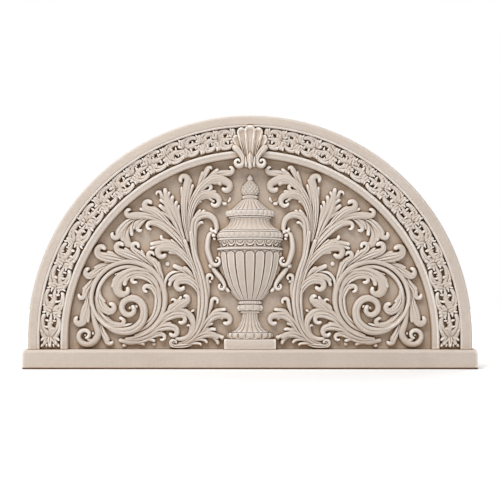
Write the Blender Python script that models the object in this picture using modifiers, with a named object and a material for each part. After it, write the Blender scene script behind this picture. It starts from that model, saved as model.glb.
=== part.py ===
"""Tympanum panel: a carved stone lunette that closes the arched head of a doorway, on its sill course.

The ornament is laid out on a drawing of 4 mm squares. u runs outward from the panel's centreline and v runs
up from the top of the sill, so one table of leaves serves both halves. Heights of relief are in metres,
measured forward from the field, which is the sunk ground that the scrolls stand on. The front faces -Y.
"""

import math
from typing import NamedTuple

import bmesh
import bpy
import numpy as np

# Driving dimensions, in metres
SQUARE = 0.004
SILL_WIDTH = 1.820
SILL_HEIGHT = 0.076
SILL_DEPTH = 0.130
SILL_BEVEL = 0.008
JOINT = 0.0003
BACK_Y = SILL_DEPTH / 2
FIELD_Y = 0.020
PANEL_FOOT = SILL_HEIGHT + JOINT

# The arch, in squares: a half circle on short straight legs
ARCH_RADIUS = 223.0
LEG = 12.0
PLATE_RADIUS = 216.0
BEAD_RADIUS = 212.5
BAND_OUTER_RADIUS = 211.3
BAND_INNER_RADIUS = 187.0
INNER_MOULDING_LEG = 9.4
INNER_MOULDING_RADII = (183.4, 190.6)
ARC_STEP = 5.0

# Heights above the field, in metres
FRAME_HEIGHT = 0.055
BAND_FLOOR = 0.024
INNER_MOULDING_HEIGHT = 0.046
ARRIS_DROP = 0.004  # how far a moulding's chamfered arris or bead lies below its face
SINK = 0.004
SHELL_HEIGHT = 0.068
PLINTH_HEIGHT = 0.062

# The leaf band: cells of two facing leaves, in degrees along the arch. Each cell is shorter than the one before
# it by twice the pitch loss.
BAND_MIDDLE = 200.9
BAND_CELLS = 14
BAND_FIRST_PITCH = 7.54
BAND_PITCH_LOSS = 0.1035
BAND_LEAF_HEIGHT = 0.022
BAND_LEAF_WIDTH = 6.8
# A band leaf's spine: cells on from its node, and squares away from the band's middle
BAND_LEAF_SPINE = ((-0.10, 0.0), (0.16, 5.6), (0.46, 8.0), (0.72, 6.8), (0.80, 3.4))

# How finely a leaf's spine is cut into sections: squares of length and degrees of bend for each one
SECTION_LENGTH = 18.0
SECTION_BEND = 52.0

# A leaf's section: its shoulders as a share of its half width, and the share of its height that it starts at
SHOULDER = 0.5
ROOT_RISE = 0.75

# Shares of a leaf's length: where it has swollen to full width, risen to full height, and begins to taper
SWOLLEN_AT = 0.35
RISEN_AT = 0.7
TAPERS_FROM = 0.5
TAPER_POWER = 1.5

# Share of the joined solid's facets that is kept: most of those dropped lie flat in the field
KEPT_FACETS = 0.46

STONE = (0.60, 0.52, 0.44, 1.0)
STONE_ROUGHNESS = 0.85


class Leaf(NamedTuple):
    """One stem or lobe: its spine runs through path and then winds round its eye, if it has one."""

    width: float
    height: float
    path: tuple
    eye: tuple = None
    radius: float = 0.0
    turn: float = 0.0
    tip_radius: float = 0.6
    root: float = 0.6
    tip: float = 0.45
    floor: float = -SINK


def polar(centre, *marks):
    """Points of an arc or spiral through (radius, degrees) marks about a centre, one every 30 degrees."""
    points = []
    for (r0, a0), (r1, a1) in zip(marks, marks[1:]):
        count = max(1, round(abs(a1 - a0) / 30))
        for step in range(count):
            share = step / count
            points.append((r0 + (r1 - r0) * share, a0 + (a1 - a0) * share))
    points.append(marks[-1])
    return tuple(
        (centre[0] + r * math.cos(math.radians(a)), centre[1] + r * math.sin(math.radians(a)))
        for r, a in points
    )


def on_arch(radius, degrees):
    """The point at a radius of the arch, this many degrees up from its springing."""
    return polar((0.0, LEG), (radius, degrees))[0]


RING = (122.5, 50.5)  # centre of the large scroll

SCROLL = (
    Leaf(6.0, 0.025, polar(RING, (39.3, 262), (36.3, 180), (37.4, 90), (37, 0), (34.5, -50), (34, -80))),
    Leaf(5.0, 0.020, polar(RING, (37.7, 262), (31.7, 180), (32.8, 90), (31.5, 0), (30.5, -50))),
    Leaf(4.0, 0.023, polar(RING, (35.5, 265), (28.3, 180), (28.5, 140)), tip=0.3),
    Leaf(8.0, 0.030, ((148, 26), (139, 20), (129.5, 18.5), (117.5, 20.5), (109.5, 28)),
         (121, 40.5), 14.5, 300, 0.3, tip=0.6),
)  # fmt: skip

SCROLL_LEAVES = (
    Leaf(7.0, 0.026, ((138, 87), (151, 82.5), (159, 79)), (163, 76), 3.5, 200),
    Leaf(8.6, 0.029, ((122, 89), (134, 91.5), (144, 92.5)), (149.5, 98), 4.6, 230),
    Leaf(8.6, 0.030, ((106, 86), (116, 92.5), (125, 96.5)), (130, 102), 4.2, 210),
    Leaf(5.4, 0.029, ((97, 83), (106, 92), (113, 96.5)), (115, 103.5), 4.2, 250),
    Leaf(5.4, 0.027, ((87, 62), (91, 76), (98, 88)), (100, 95), 3.8, 220),
    Leaf(7.0, 0.025, ((155, 76), (161, 64.5), (166, 57.5)), (171, 54), 3.0, 150),
    Leaf(8.1, 0.028, ((162, 60), (165, 44), (168, 31)), (172.6, 28), 4.2, 230),
    Leaf(6.0, 0.024, ((160.5, 54), (159, 36), (156, 25), (153, 16)), (166, 13.5), 11, 300, 0.35),
    Leaf(8.1, 0.027, ((153.5, 58), (152, 48), (147.5, 41.5)), (141.3, 43), 4.0, 220),
    Leaf(6.5, 0.022, ((157, 52), (154, 39), (148, 30), (139.5, 24.8)), (131, 28), 4.6, 180),
    Leaf(6.5, 0.024, ((150.5, 26), (146.5, 17), (141.5, 10), (139, 4))),
    Leaf(4.9, 0.018, ((131.5, 8), (119.5, 6.5), (113.5, 7), (108, 4))),
    Leaf(8.6, 0.028, polar((111.5, 59), (20, 205), (21, 150), (20, 90), (22, 40), (23, 20)),
         (127, 60.5), 7.3, 230, 0.42),
    Leaf(4.9, 0.030, ((109.5, 77), (119.5, 74.5), (125, 70), (126.5, 63.5))),
    Leaf(5.9, 0.026, ((93, 56), (99, 67), (106, 72.5), (112.5, 73.4)), (116, 69.8), 3.4, 190),
    Leaf(5.4, 0.024, ((92.5, 43), (94.5, 54), (99, 61.5)), (105, 60.3), 3.2, 200),
)  # fmt: skip

LINK_LEAVES = (
    Leaf(7.6, 0.026, ((124.5, 9.5), (111.5, 11.5), (99.5, 17), (91.5, 24.5), (84.5, 33)),
         (71, 23), 16, 225, 0.85, tip=0.8),
    Leaf(5.4, 0.021, ((126, 7), (109.5, 8.5), (99.5, 13), (89.5, 19), (84, 21))),
    Leaf(5.9, 0.029, ((95, 21), (85, 30), (77, 34)), (69.5, 29.5), 4.6, 210),
    Leaf(6.5, 0.030, ((101, 15.5), (90, 21.5), (82, 22.5)), (78, 17.2), 4.6, 230),
    Leaf(4.3, 0.024, ((109.5, 8.5), (100, 12.5), (93, 14.8)), (89, 11.6), 3.2, 200),
    Leaf(8.6, 0.029, ((87, 31), (79.5, 39), (73, 45)), (66.8, 52), 4.0, 200),
    Leaf(5.4, 0.024, ((82, 34), (74, 40.5), (62.5, 45.5))),
    Leaf(4.3, 0.024, ((83, 35), (79.5, 42)), (78, 48), 2.8, 210),
    Leaf(4.5, 0.026, ((60, 4), (68, 2.6)), (75.5, 6.3), 4.2, 250),
)  # fmt: skip

TRUNK = (
    Leaf(9.0, 0.032, ((71, 5.2), (61.5, 8.6), (54, 16), (49.6, 26), (47.4, 37), (46, 49), (47.4, 63),
                      (51.2, 79), (55.6, 92), (58, 104), (60, 120)), root=0.9, tip=0.7),
    Leaf(7.0, 0.028, ((64, 4), (57.5, 12), (53.2, 22), (50.8, 36), (50.4, 50), (53, 66), (57.6, 82), (63, 97),
                      (67.2, 111)), root=0.8, tip=0.7),
    Leaf(4.5, 0.025, ((42.6, 48), (42.2, 60), (43.4, 69)), (40.2, 71.9), 3.4, 230),
    Leaf(4.5, 0.025, ((44.0, 26), (41, 38), (39, 46)), (35.2, 47.8), 3.6, 210),
    Leaf(7.5, 0.030, ((58, 8), (48.5, 19), (42.0, 28.8), (34, 34.8)), (24.8, 28.2), 6.4, 250, 0.5),
    Leaf(4.0, 0.026, ((49.5, 18), (42.0, 30), (34.5, 37.6), (25.0, 39.6))),
    Leaf(7.5, 0.029, ((62, 5.5), (52.5, 12), (44, 14.8), (37, 13.8), (31.0, 9.6)), tip=0.7),
    Leaf(4.5, 0.026, ((52, 13), (44.5, 17.5), (39, 20), (34.4, 19.4))),
    Leaf(4.0, 0.024, ((60, 5), (51.5, 9), (46, 8.6), (43, 5.6))),
)  # fmt: skip

MIDDLE_LEAVES = (
    Leaf(7.6, 0.031, ((48, 46), (52, 60), (57, 66.5), (63.5, 69.6)), (69.2, 64.6), 5.2, 240, 0.55),
    Leaf(4.9, 0.026, ((50.5, 62), (57, 71), (66, 75), (77, 72))),
    Leaf(3.8, 0.023, ((64, 76), (74.5, 77.2), (82, 75), (85.6, 67), (86, 60))),
    Leaf(6.5, 0.025, ((56, 70), (67, 79), (77.5, 84.5))),
    Leaf(7.6, 0.032, ((50.5, 66), (59.5, 85), (66.5, 94), (74.5, 100.5), (82, 103.2)),
         (87.4, 97.8), 5.2, 230, 0.55),
    Leaf(6.5, 0.027, ((60, 88), (67, 98), (77, 105.5), (89, 107), (100, 104.5))),
    Leaf(3.8, 0.024, ((76, 105), (86.5, 109.3), (89.5, 114.5))),
    Leaf(4.3, 0.026, ((57, 78), (64.5, 91), (73, 98), (83, 98))),
)  # fmt: skip

UPPER_LEAVES = (
    Leaf(7.0, 0.029, ((62, 100), (74.5, 118), (84.5, 127), (94.5, 132), (105, 135), (116, 135.3)),
         (122.5, 138.4), 3.0, 190),
    Leaf(7.0, 0.031, ((76, 118), (89, 133.5), (97.5, 138.7)), (102.5, 144.6), 4.0, 220),
    Leaf(5.9, 0.025, ((97, 132.5), (107.5, 131), (113.5, 127.5), (115, 122))),
    Leaf(7.0, 0.027, ((110, 133.5), (122, 129.5), (128.5, 123), (132.5, 117)), (136.4, 116), 3.2, 200),
    Leaf(9.2, 0.024, ((120, 130), (125, 120), (126.5, 112), (123.5, 105.5), (118.5, 103.5))),
    Leaf(5.9, 0.030, ((57, 86), (66.5, 103), (74.5, 113), (84.5, 122), (92.5, 126.6)),
         (100.5, 123.6), 4.2, 190),
    Leaf(10.3, 0.029, ((66, 108), (72.5, 125), (79, 140), (84, 153), (84.5, 164)), tip=0.8),
    Leaf(5.4, 0.025, ((76, 138), (79, 150), (75, 151), (70.5, 144))),
    Leaf(5.4, 0.025, ((75, 130), (82, 139), (91.5, 146.5))),
    Leaf(5.4, 0.024, ((72, 124), (80, 134), (90, 140))),
    Leaf(4.3, 0.024, ((85, 146), (89.5, 156.5)), (92, 157), 2.6, 170),
)  # fmt: skip

CROWN_LEAVES = (
    Leaf(7.6, 0.030, ((63, 110), (66, 130), (65.6, 150), (64.2, 164)), (67.2, 171), 3.9, 230),
    Leaf(8.1, 0.032, ((60, 112), (61.5, 130), (59.5, 145), (53.5, 157), (46, 166), (38, 171.6), (31, 172.2)),
         (24.8, 164.2), 5.0, 230, 0.55),
    Leaf(5.4, 0.028, ((50, 163), (41.0, 172.6), (30.5, 176.8), (25.5, 177.2)), (20.2, 181.2), 3.4, 210),
    Leaf(4.3, 0.024, ((55, 158), (50.5, 168), (46, 175), (43.4, 180), (41, 183.6)), tip=0.7),
    Leaf(4.9, 0.028, ((44.5, 169), (36, 171), (28.5, 166))),
    Leaf(5.4, 0.028, ((58, 149), (51.5, 160), (46, 164.8)), (42, 163.2), 3.0, 190),
    Leaf(7.0, 0.032, ((59, 108), (60.5, 128), (59, 141), (54.5, 151), (47.5, 157), (40, 157.2)),
         (36.2, 148.8), 6.2, 230, 0.42),
    Leaf(4.3, 0.024, ((56, 145), (50, 152.5), (42, 152))),
    Leaf(7.0, 0.031, ((50, 72), (55, 92), (57.3, 110),
                      *polar((45, 124.5), (12.3, -10), (11.3, 90), (11.3, 175))),
         (37.2, 121.3), 3.6, 210),
    Leaf(4.9, 0.027, ((56.5, 116), (54, 128), (48.5, 132), (43, 128.5))),
    Leaf(3.2, 0.022, ((29, 150.5), (26.5, 146.5), (22.5, 145.5))),
)  # fmt: skip

HANDLE = (
    Leaf(6.0, 0.044, ((36, 117.5), (40.5, 115.5), (42.6, 108), (42.8, 100), (40.5, 92)),
         (33.5, 89), 5.2, 250, 0.5, root=0.8),
    Leaf(5.0, 0.038, ((38, 83), (33, 76.5), (28.8, 70)), (28.6, 63), 3.4, 260, root=0.9),
    Leaf(5.0, 0.036, ((40, 87), (37.5, 81)), root=0.9, tip=0.9),
)  # fmt: skip

# The shell keystone: ribs that fan out of a bulb, between two small volutes
SHELL_LEAVES = (
    Leaf(11.0, SHELL_HEIGHT, ((0, 184), (0, 204), (0, 224)), root=0.35, tip=0.7),
    Leaf(9.5, SHELL_HEIGHT - 0.003, ((3.5, 186), (6.5, 204), (9.6, 220.5)), root=0.35, tip=0.7),
    Leaf(9.0, SHELL_HEIGHT - 0.006, ((6, 187), (10.5, 200), (15.6, 213)), root=0.35, tip=0.7),
    Leaf(7.0, SHELL_HEIGHT - 0.010, ((7, 186), (11.5, 193), (17, 202.5)), root=0.4, tip=0.7),
    Leaf(4.0, 0.050, ((7, 196), (7.5, 190)), (13, 187.5), 4.0, 270),
    Leaf(14.0, SHELL_HEIGHT + 0.002, ((0, 181), (0, 187), (0, 193)), root=0.8, tip=0.8),
)  # fmt: skip

# The urn: (height in the drawing, half width), turned mouldings from the foot up
URN_PROFILE = (
    (10.0, 20.5), (11.5, 22.8), (16.0, 22.8), (17.5, 18.0), (21.0, 13.4), (26.0, 10.2), (31.0, 8.2),
    (36.8, 8.0), (38.8, 9.4), (39.5, 13.0), (45.3, 13.0), (46.0, 11.4), (48.6, 11.4), (50.0, 11.0),
    (55.0, 16.5), (60.0, 20.2), (70.0, 25.0), (80.0, 28.9), (90.0, 31.2), (100.0, 31.6), (103.8, 29.5),
    (110.2, 29.5), (111.0, 31.4), (113.0, 31.4), (114.0, 34.0), (118.0, 34.0), (119.5, 29.0), (124.0, 22.4),
    (128.0, 19.6), (132.5, 19.8), (134.5, 24.2), (140.5, 24.2), (142.0, 17.8), (146.0, 12.2), (150.8, 7.6),
    (154.4, 7.4), (155.6, 7.0), (158.0, 8.8), (161.0, 9.3), (166.0, 6.6), (169.8, 2.6), (171.6, 3.0),
    (175.5, 1.2),
)  # fmt: skip
URN_STILT = 0.012
URN_DEPTH_SHARE = 0.46
URN_SECTIONS = 20
GADROON_ROWS = (50.0, 103.0)
GADROON_DEPTH = 0.10
PLINTH_HALF_WIDTH = 26.0
PLINTH_TOP = 10.2


def place(u, v, height, side=1):
    """The drawing's point (u, v), this far in front of the field, on the right (1) or left (-1) half."""
    return (side * u * SQUARE, FIELD_Y - height, PANEL_FOOT + v * SQUARE)


def in_collection(name, hidden):
    collection = bpy.data.collections.new(name)
    collection.hide_render = hidden
    bpy.context.scene.collection.children.link(collection)
    return collection


def stone_material():
    material = bpy.data.materials.new("pale_cast_stone")
    material.use_nodes = True
    shader = material.node_tree.nodes["Principled BSDF"]
    shader.inputs["Base Color"].default_value = STONE
    shader.inputs["Roughness"].default_value = STONE_ROUGHNESS
    shader.inputs["Metallic"].default_value = 0.0
    material.diffuse_color = STONE
    return material


def object_from(bm, name, collection):
    bmesh.ops.recalc_face_normals(bm, faces=bm.faces)
    mesh = bpy.data.meshes.new(name)
    bm.to_mesh(mesh)
    bm.free()
    made = bpy.data.objects.new(name, mesh)
    collection.objects.link(made)
    return made


def loft(name, rings, collection):
    """A closed solid over rings of as many points each, capped at both ends."""
    bm = bmesh.new()
    rows = [[bm.verts.new(point) for point in ring] for ring in rings]
    for row, following in zip(rows, rows[1:]):
        for i in range(len(row)):
            j = (i + 1) % len(row)
            bm.faces.new((row[i], row[j], following[j], following[i]))
    bm.faces.new(rows[0])
    bm.faces.new(rows[-1])
    return object_from(bm, name, collection)


def curl(last, heading, leaf):
    """The spine's turns round the eye: a spiral that meets the path as a tangent and closes in."""
    eye = np.array(leaf.eye)
    away = last - eye
    side = 1 if heading[0] * -away[1] - heading[1] * -away[0] > 0 else -1
    start = math.atan2(away[1], away[0])
    distance = max(np.hypot(*away), leaf.radius * 1.001)
    start += side * math.acos(leaf.radius / distance)
    count = max(2, round(leaf.turn / 20))
    turned = np.radians(leaf.turn) * np.arange(count + 1) / count
    radii = leaf.radius * (1 + (leaf.tip_radius - 1) * np.arange(count + 1) / count)
    angles = start + side * turned
    return eye + np.stack([radii * np.cos(angles), radii * np.sin(angles)], axis=1)


def smooth(points):
    """A dense smooth line through the points (a centripetal Catmull-Rom curve)."""
    ends = np.vstack([2 * points[0] - points[1], points, 2 * points[-1] - points[-2]])
    line = []
    for p0, p1, p2, p3 in zip(ends, ends[1:], ends[2:], ends[3:]):
        knots = np.cumsum([0] + [max(np.hypot(*gap), 1e-6) ** 0.5 for gap in (p1 - p0, p2 - p1, p3 - p2)])
        t = np.linspace(knots[1], knots[2], 9)[:-1, None]
        a1 = (knots[1] - t) / knots[1] * p0 + t / knots[1] * p1
        a2 = ((knots[2] - t) * p1 + (t - knots[1]) * p2) / (knots[2] - knots[1])
        a3 = ((knots[3] - t) * p2 + (t - knots[2]) * p3) / (knots[3] - knots[2])
        b1 = ((knots[2] - t) * a1 + t * a2) / knots[2]
        b2 = ((knots[3] - t) * a2 + (t - knots[1]) * a3) / (knots[3] - knots[1])
        line.extend(((knots[2] - t) * b1 + (t - knots[1]) * b2) / (knots[2] - knots[1]))
    line.append(points[-1])
    return np.array(line)


def spine(leaf):
    """Stations along the leaf, closer where it bends, with the direction of travel at each."""
    points = np.array(leaf.path, float)
    if leaf.eye:
        points = np.vstack([points, curl(points[-1], points[-1] - points[-2], leaf)])
    line = smooth(points)
    steps = np.diff(line, axis=0)
    lengths = np.hypot(steps[:, 0], steps[:, 1])
    headings = np.unwrap(np.arctan2(steps[:, 1], steps[:, 0]))
    bends = np.abs(np.diff(headings, prepend=headings[0]))
    cost = lengths / SECTION_LENGTH + bends / math.radians(SECTION_BEND)
    measure = np.concatenate([[0], np.cumsum(cost)])
    count = max(3, round(measure[-1]))
    marks = np.linspace(0, measure[-1], count + 1)
    stations = np.stack([np.interp(marks, measure, line[:, k]) for k in (0, 1)], axis=1)
    middles = (measure[1:] + measure[:-1]) / 2
    return stations, np.interp(marks, middles, headings)


def leaf_rings(leaf, side):
    """Sections with two feet in the ground and two shoulders, swelling from the root and then tapering."""
    stations, headings = spine(leaf)
    shares = np.linspace(0, 1, len(stations))
    for (u, v), heading, share in zip(stations, headings, shares):
        swell = leaf.root + (1 - leaf.root) * min(1, share / SWOLLEN_AT)
        taper = 1 - (1 - leaf.tip) * max(0, (share - TAPERS_FROM) / (1 - TAPERS_FROM)) ** TAPER_POWER
        half = leaf.width / 2 * swell * taper
        rise = ROOT_RISE + (1 - ROOT_RISE) * math.sin(math.pi / 2 * min(1, share / RISEN_AT))
        across = (-math.sin(heading) * half, math.cos(heading) * half)
        top = leaf.height * rise
        corners = ((-1, leaf.floor), (-SHOULDER, top), (SHOULDER, top), (1, leaf.floor))
        yield [place(u + across[0] * way, v + across[1] * way, height, side) for way, height in corners]


def carve_leaves(name, leaves, collection):
    """Each leaf on both halves, but only once where it stands on the centreline."""
    for number, leaf in enumerate(leaves):
        central = all(u == 0 for u, _ in leaf.path)
        for side, half in ((1, "right"),) if central else ((1, "right"), (-1, "left")):
            loft(f"{name}_{number:02d}_{half}", list(leaf_rings(leaf, side)), collection)


def band_start(cell):
    return BAND_FIRST_PITCH * cell - BAND_PITCH_LOSS * cell * cell


def band_leaves():
    """The leaf band's cells: from each node a leaf curls over an outer hollow and one under an inner one."""
    for cell in range(BAND_CELLS):
        node = band_start(cell)
        pitch = band_start(cell + 1) - node
        for way in (1, -1):
            path = tuple(on_arch(BAND_MIDDLE + way * off, node + on * pitch) for on, off in BAND_LEAF_SPINE)
            height = BAND_LEAF_HEIGHT + BAND_FLOOR
            yield Leaf(BAND_LEAF_WIDTH, height, path, tip=0.75, floor=BAND_FLOOR - SINK)


def arch_outline(radius, leg):
    """A half circle on its legs, from the right foot over the crown to the left foot."""
    count = round(180 / ARC_STEP)
    arc = [polar((0, leg), (radius, 180 * step / count))[0] for step in range(count + 1)]
    return [(radius, 0.0), *arc, (-radius, 0.0)]


def arch_plate(name, radius, front, collection):
    """The flat half-round slab behind the ornament."""
    bm = bmesh.new()
    outline = [bm.verts.new(place(u, v, FIELD_Y - BACK_Y)) for u, v in arch_outline(radius, LEG)]
    face = bm.faces.new(outline)
    grown = bmesh.ops.extrude_face_region(bm, geom=[face])["geom"]
    verts = [element for element in grown if isinstance(element, bmesh.types.BMVert)]
    bmesh.ops.translate(bm, verts=verts, vec=(0, FIELD_Y - front - BACK_Y, 0))
    return object_from(bm, name, collection)


def arch_moulding(name, profile, leg, collection):
    """A section of (radius, height) corners carried round the arch, from foot to foot."""
    rings = []
    for foot_u, foot_v in arch_outline(1.0, leg):
        lift = min(foot_v, leg)
        rings.append(
            [place(foot_u * r, lift + (foot_v - lift) * r, height) for r, height in profile]
        )
    return loft(name, rings, collection)


def urn_rings():
    """Half-elliptical sections of the urn, scalloped where its body has gadroons."""
    for v, half_width in URN_PROFILE:
        width = half_width * SQUARE
        depth = width * URN_DEPTH_SHARE
        ring = [place(-half_width, v, -SINK)]
        for step in range(URN_SECTIONS + 1):
            angle = math.pi * step / URN_SECTIONS
            on_body = GADROON_ROWS[0] < v < GADROON_ROWS[1]
            reach = 1 - GADROON_DEPTH * (step % 2) if on_body else 1.0
            ring.append(
                place(-half_width * reach * math.cos(angle), v, URN_STILT + depth * reach * math.sin(angle))
            )
        ring.append(place(half_width, v, -SINK))
        yield ring


def box(name, low, high, collection):
    bm = bmesh.new()
    bmesh.ops.create_cube(bm, size=1.0)
    size = [b - a for a, b in zip(low, high)]
    middle = [(a + b) / 2 for a, b in zip(low, high)]
    bmesh.ops.scale(bm, vec=size, verts=bm.verts)
    bmesh.ops.translate(bm, vec=middle, verts=bm.verts)
    return object_from(bm, name, collection)


def join_all(panel, forms):
    join = panel.modifiers.new("join_" + forms.name, "BOOLEAN")
    join.operation = "UNION"
    join.operand_type = "COLLECTION"
    join.collection = forms
    join.solver = "EXACT"


def carved_forms(forms):
    """Everything carved out in front of the slab, each form a closed solid that runs into it."""
    band_ground = (
        (PLATE_RADIUS, FIELD_Y - BACK_Y),
        (PLATE_RADIUS, BAND_FLOOR),
        (BAND_INNER_RADIUS, BAND_FLOOR),
        (BAND_INNER_RADIUS, FIELD_Y - BACK_Y),
    )
    arch_moulding("band_ground", band_ground, LEG, forms)
    carve_leaves("scroll", SCROLL + SCROLL_LEAVES, forms)
    carve_leaves("link", LINK_LEAVES, forms)
    carve_leaves("trunk", TRUNK, forms)
    carve_leaves("middle", MIDDLE_LEAVES, forms)
    carve_leaves("upper", UPPER_LEAVES, forms)
    carve_leaves("crown", CROWN_LEAVES, forms)
    carve_leaves("handle", HANDLE, forms)
    carve_leaves("shell", SHELL_LEAVES, forms)
    carve_leaves("band", tuple(band_leaves()), forms)
    loft("urn", list(urn_rings()), forms)
    low = place(-PLINTH_HALF_WIDTH, 0.0, PLINTH_HEIGHT)
    high = place(PLINTH_HALF_WIDTH, PLINTH_TOP, -SINK)
    box("urn_plinth", low, high, forms)


def arch_mouldings(forms):
    """The outer frame, which runs to the panel's back, and the inner moulding on the field's edge."""
    outer_frame = (
        (ARCH_RADIUS, FIELD_Y - BACK_Y),
        (ARCH_RADIUS, FRAME_HEIGHT - ARRIS_DROP),
        (ARCH_RADIUS - 1.5, FRAME_HEIGHT),
        (BEAD_RADIUS + 1.2, FRAME_HEIGHT),
        (BEAD_RADIUS, FRAME_HEIGHT - ARRIS_DROP),
        (BAND_OUTER_RADIUS, FRAME_HEIGHT - ARRIS_DROP),
        (BAND_OUTER_RADIUS, FIELD_Y - BACK_Y),
    )
    arch_moulding("outer_frame", outer_frame, LEG, forms)
    inner, outer = INNER_MOULDING_RADII
    inner_moulding = (
        (outer, -SINK),
        (outer, INNER_MOULDING_HEIGHT - ARRIS_DROP),
        (outer - 0.8, INNER_MOULDING_HEIGHT),
        (inner + 0.8, INNER_MOULDING_HEIGHT),
        (inner, INNER_MOULDING_HEIGHT - ARRIS_DROP),
        (inner, -SINK),
    )
    arch_moulding("inner_moulding", inner_moulding, INNER_MOULDING_LEG, forms)


def carved_panel(parts, forms, mouldings, material):
    """The slab with every carved form and then the mouldings joined to it, as one solid."""
    panel = arch_plate("carved_tympanum_panel", PLATE_RADIUS, 0.0, parts)
    carved_forms(forms)
    arch_mouldings(mouldings)
    join_all(panel, forms)
    thin = panel.modifiers.new("fewer_facets", "DECIMATE")
    thin.ratio = KEPT_FACETS
    join_all(panel, mouldings)
    panel.data.materials.append(material)
    return panel


def sill_course(parts, material):
    """The straight course below, its long edges taken off."""
    low = (-SILL_WIDTH / 2, -SILL_DEPTH / 2, 0.0)
    high = (SILL_WIDTH / 2, SILL_DEPTH / 2, SILL_HEIGHT)
    sill = box("sill_course", low, high, parts)
    bevel = sill.modifiers.new("worn_edges", "BEVEL")
    bevel.width = SILL_BEVEL
    bevel.segments = 1
    bevel.limit_method = "WEIGHT"
    weights = sill.data.attributes.new("bevel_weight_edge", "FLOAT", "EDGE")
    for edge in sill.data.edges:
        ends = [sill.data.vertices[i].co for i in edge.vertices]
        weights.data[edge.index].value = float(all(end.y < 0 for end in ends) and ends[0].z == ends[1].z)
    sill.data.materials.append(material)
    return sill


def build():
    for old in list(bpy.data.objects):
        bpy.data.objects.remove(old, do_unlink=True)
    parts = in_collection("tympanum_panel", False)
    forms = in_collection("carved_forms", True)
    mouldings = in_collection("mouldings", True)
    material = stone_material()
    sill_course(parts, material)
    carved_panel(parts, forms, mouldings, material)
    for form in (*forms.objects, *mouldings.objects):
        form.hide_render = True
        form.display_type = "WIRE"


build()
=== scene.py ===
"""Looks of the tympanum panel: the fine carving of the arch, leaf band, shell, urn and scrollwork, in stone.

The ornament is laid out on the panel's drawing of 4 mm squares: u runs outward from the centreline and v up
from the top of the sill, so one table of leaves serves both halves. Heights of relief are in metres, measured
forward from the field, the sunk ground that the scrolls stand on. The front faces -Y.
"""

import math
from typing import NamedTuple

import bmesh
import bpy
import numpy as np
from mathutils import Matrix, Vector


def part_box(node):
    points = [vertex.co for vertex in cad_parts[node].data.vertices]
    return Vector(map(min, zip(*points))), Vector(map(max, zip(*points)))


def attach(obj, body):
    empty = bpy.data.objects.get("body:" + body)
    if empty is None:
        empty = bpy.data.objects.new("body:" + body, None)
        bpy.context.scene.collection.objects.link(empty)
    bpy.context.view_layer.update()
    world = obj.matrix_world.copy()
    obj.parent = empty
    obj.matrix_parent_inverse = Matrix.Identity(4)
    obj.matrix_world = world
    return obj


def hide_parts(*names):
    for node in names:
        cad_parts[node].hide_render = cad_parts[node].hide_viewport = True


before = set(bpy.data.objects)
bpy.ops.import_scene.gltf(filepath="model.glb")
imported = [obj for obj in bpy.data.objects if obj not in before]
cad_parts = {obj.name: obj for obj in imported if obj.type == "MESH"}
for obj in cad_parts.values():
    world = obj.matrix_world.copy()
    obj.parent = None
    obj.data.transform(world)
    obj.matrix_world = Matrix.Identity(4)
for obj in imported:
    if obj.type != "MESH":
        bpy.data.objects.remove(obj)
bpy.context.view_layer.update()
PANEL_LOW, PANEL_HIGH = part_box("carved_tympanum_panel")
SILL_LOW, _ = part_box("sill_course")

# Driving dimensions, in metres
SQUARE = 0.004
SLAB_DEPTH = 0.045
BACK_Y = PANEL_HIGH[1]
FIELD_Y = BACK_Y - SLAB_DEPTH
FOOT_Z = PANEL_LOW[2]
SINK = 0.004  # how far the ornament runs into the ground behind it
ARRIS = 0.0009  # size of the small rounds on a moulding's corners
PLINTH_ARRIS = 0.0012

# The arch, in squares: a half circle on short straight legs
ARCH_RADIUS = 223
LEG = 12
PLATE_RADIUS = 222
BAND_OUTER_RADIUS = 211.4
BAND_INNER_RADIUS = 187
INNER_MOULDING_LEG = 9.4
INNER_MOULDING_RADII = (183.4, 190.6)
ARC_STEP = 1.25  # degrees between a moulding's sections

# Heights above the field, in metres
FRAME_HEIGHT = 0.055
BAND_FLOOR = 0.024
INNER_MOULDING_HEIGHT = 0.046
SHELL_HEIGHT = 0.068
PLINTH_HEIGHT = 0.062

# How finely a leaf is cut: widths of length and degrees of bend for each section, and points across it: so
# many, and more for each square of width, or a share of those where it has no grooves
SECTION_SHARE = 0.45
SECTION_BEND = 10.0
POINTS_ACROSS = (10, 2.2)
PLAIN_SHARE = 0.3
LEAST_SECTIONS = 6
SECTION_GAP = 0.3  # least gap to the sections of the round ends, which are cut at these degrees
TIP_TURNS = (0, 15, 30, 45, 60, 75, 90)
ROOT_TURNS = (0, 25, 50, 75)
SMOOTH_STEPS = 12  # steps of a smooth line between two points
CURL_STEP = 20  # degrees between the points of a curl

# Shares of a leaf's length, width and height
PEAK = 0.70
UNDERCUT = 0.80
SHOULDER = 0.28
HOLLOW_SHARE = 0.66
HOLLOW_END = 0.5  # half widths of the tip in which a hollow closes
TIP_SLOPE = 0.38  # height lost at a leaf's ends, and at a hollow one's
HOLLOW_TIP_SLOPE = 0.12
GROOVE_AT_ROOT = 0.3  # a groove's depth at the root, and the length in which it would gain it all
GROOVE_GROWTH = 0.22
BLUNT_ROOT = 0.08  # how much of the root's round is cut off
LEAST_HALF_WIDTH = 0.02  # squares
LEAST_CLOSING = 0.3  # of a curl's radius

# Powers that round the sections of hollow, plain and reeded leaves, spread a section's points, narrow a leaf
# past its peak, fade its grooves out and close a curl
ROUNDNESS = (0.22, 0.75, 0.5)
POINT_SPREAD = 0.8
NARROWING = 1.15
GROOVE_FADE = 2.5
CLOSING = 0.8

# Widths in squares from which a leaf has two reeds, and three
REEDED_FROM = 5.4
REEDED_TWICE_FROM = 8.5

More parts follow.
